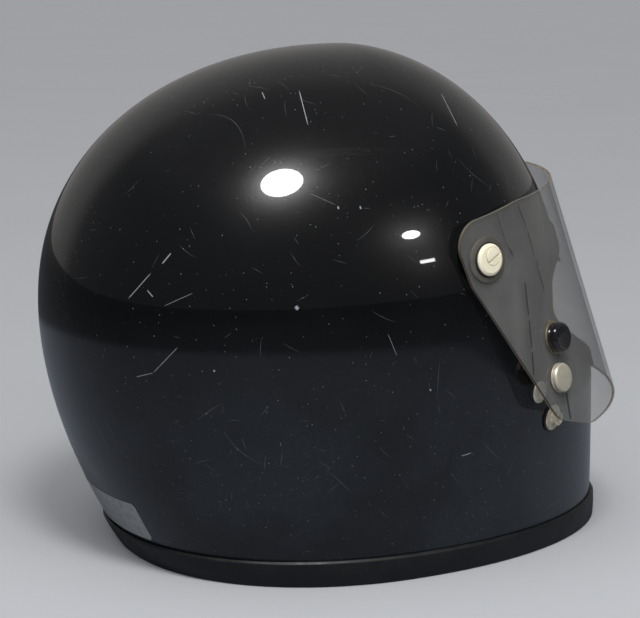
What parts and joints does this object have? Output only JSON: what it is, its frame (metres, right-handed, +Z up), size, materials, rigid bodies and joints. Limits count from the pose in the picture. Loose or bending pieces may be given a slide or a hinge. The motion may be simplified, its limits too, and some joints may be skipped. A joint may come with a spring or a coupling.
{
  "type": "full face helmet",
  "caption": "Full face motorcycle helmet: gloss shell with chin bar, swing-up smoke visor on side pivots, foam and cloth liners, chin strap with D-rings.",
  "frame": {"origin": "on the surface the helmet stands on, under the pivot line's middle and 22 mm behind it, in the middle plane", "axes": "+X forward out of the eye port, +Y to the wearer's left, +Z up out of the crown"},
  "size_m": [0.3286, 0.2602, 0.2705],
  "materials": {
    "gloss_shell": "gloss",
    "foam": "bead foam",
    "cloth": "knit",
    "vinyl": "satin",
    "rubber_strip": "matte",
    "brass": "plain",
    "black_plastic": "satin",
    "ivory_plastic": "satin",
    "nickel": "worn nickel",
    "bright_steel": "polished",
    "plain_steel": "zinc",
    "webbing": "woven",
    "smoke_sheet": "clear smoke",
    "cap_nickel": "satin",
    "gloss_black": "gloss"
  },
  "bodies": {
    "helmet": {"shell": "gloss_shell", "impact_liner": "foam", "chin_liner": "foam", "comfort_liner": "cloth", "cheek_pad_left": "cloth", "cheek_pad_right": "cloth", "neck_roll": "cloth", "neck_trim": "vinyl", "port_trim": "rubber_strip", "pivot_insert_left": "brass", "pivot_insert_right": "brass", "pivot_spacer_left": "black_plastic", "pivot_spacer_right": "black_plastic", "pivot_screw_left": "ivory_plastic", "pivot_screw_right": "ivory_plastic", "stud_washer_left": "black_plastic", "stud_washer_right": "black_plastic", "snap_stud_left": "nickel", "snap_stud_right": "nickel", "strap_rivet_left": "bright_steel", "strap_rivet_right": "bright_steel", "anchor_plate_left": "plain_steel", "anchor_plate_right": "plain_steel", "ring_strap": "webbing", "long_strap": "webbing"},
    "visor_assembly": {"visor": "smoke_sheet", "pivot_grommet_left": "black_plastic", "pivot_grommet_right": "black_plastic", "snap_cap_left": "cap_nickel", "snap_cap_right": "cap_nickel", "snap_socket_left": "nickel", "snap_socket_right": "nickel", "knob_left": "gloss_black", "knob_right": "gloss_black", "knob_ring_left": "plain_steel", "knob_ring_right": "plain_steel", "knob_backing_left": "black_plastic", "knob_backing_right": "black_plastic"},
    "outer_ring": {"d_ring_outer": "bright_steel"},
    "inner_ring": {"d_ring_inner": "bright_steel"}
  },
  "joints": [
    {"name": "visor_tilt", "type": "hinge", "parent": "helmet", "child": "visor_assembly", "pos_m": [0.022, 0, 0.169], "axis": [0, -1, 0], "range_deg": [-2.5, 48]},
    {"name": "outer_ring_swing", "type": "hinge", "parent": "helmet", "child": "outer_ring", "pos_m": [0.05342, 0.08043, 0.046], "axis": [-0.9259, 0.3778, 0], "range_deg": [-15, 1]},
    {"name": "inner_ring_swing", "type": "hinge", "parent": "helmet", "child": "inner_ring", "pos_m": [0.05191, 0.07673, 0.046], "axis": [-0.9259, 0.3778, 0], "range_deg": [-1, 30]}
  ]
}
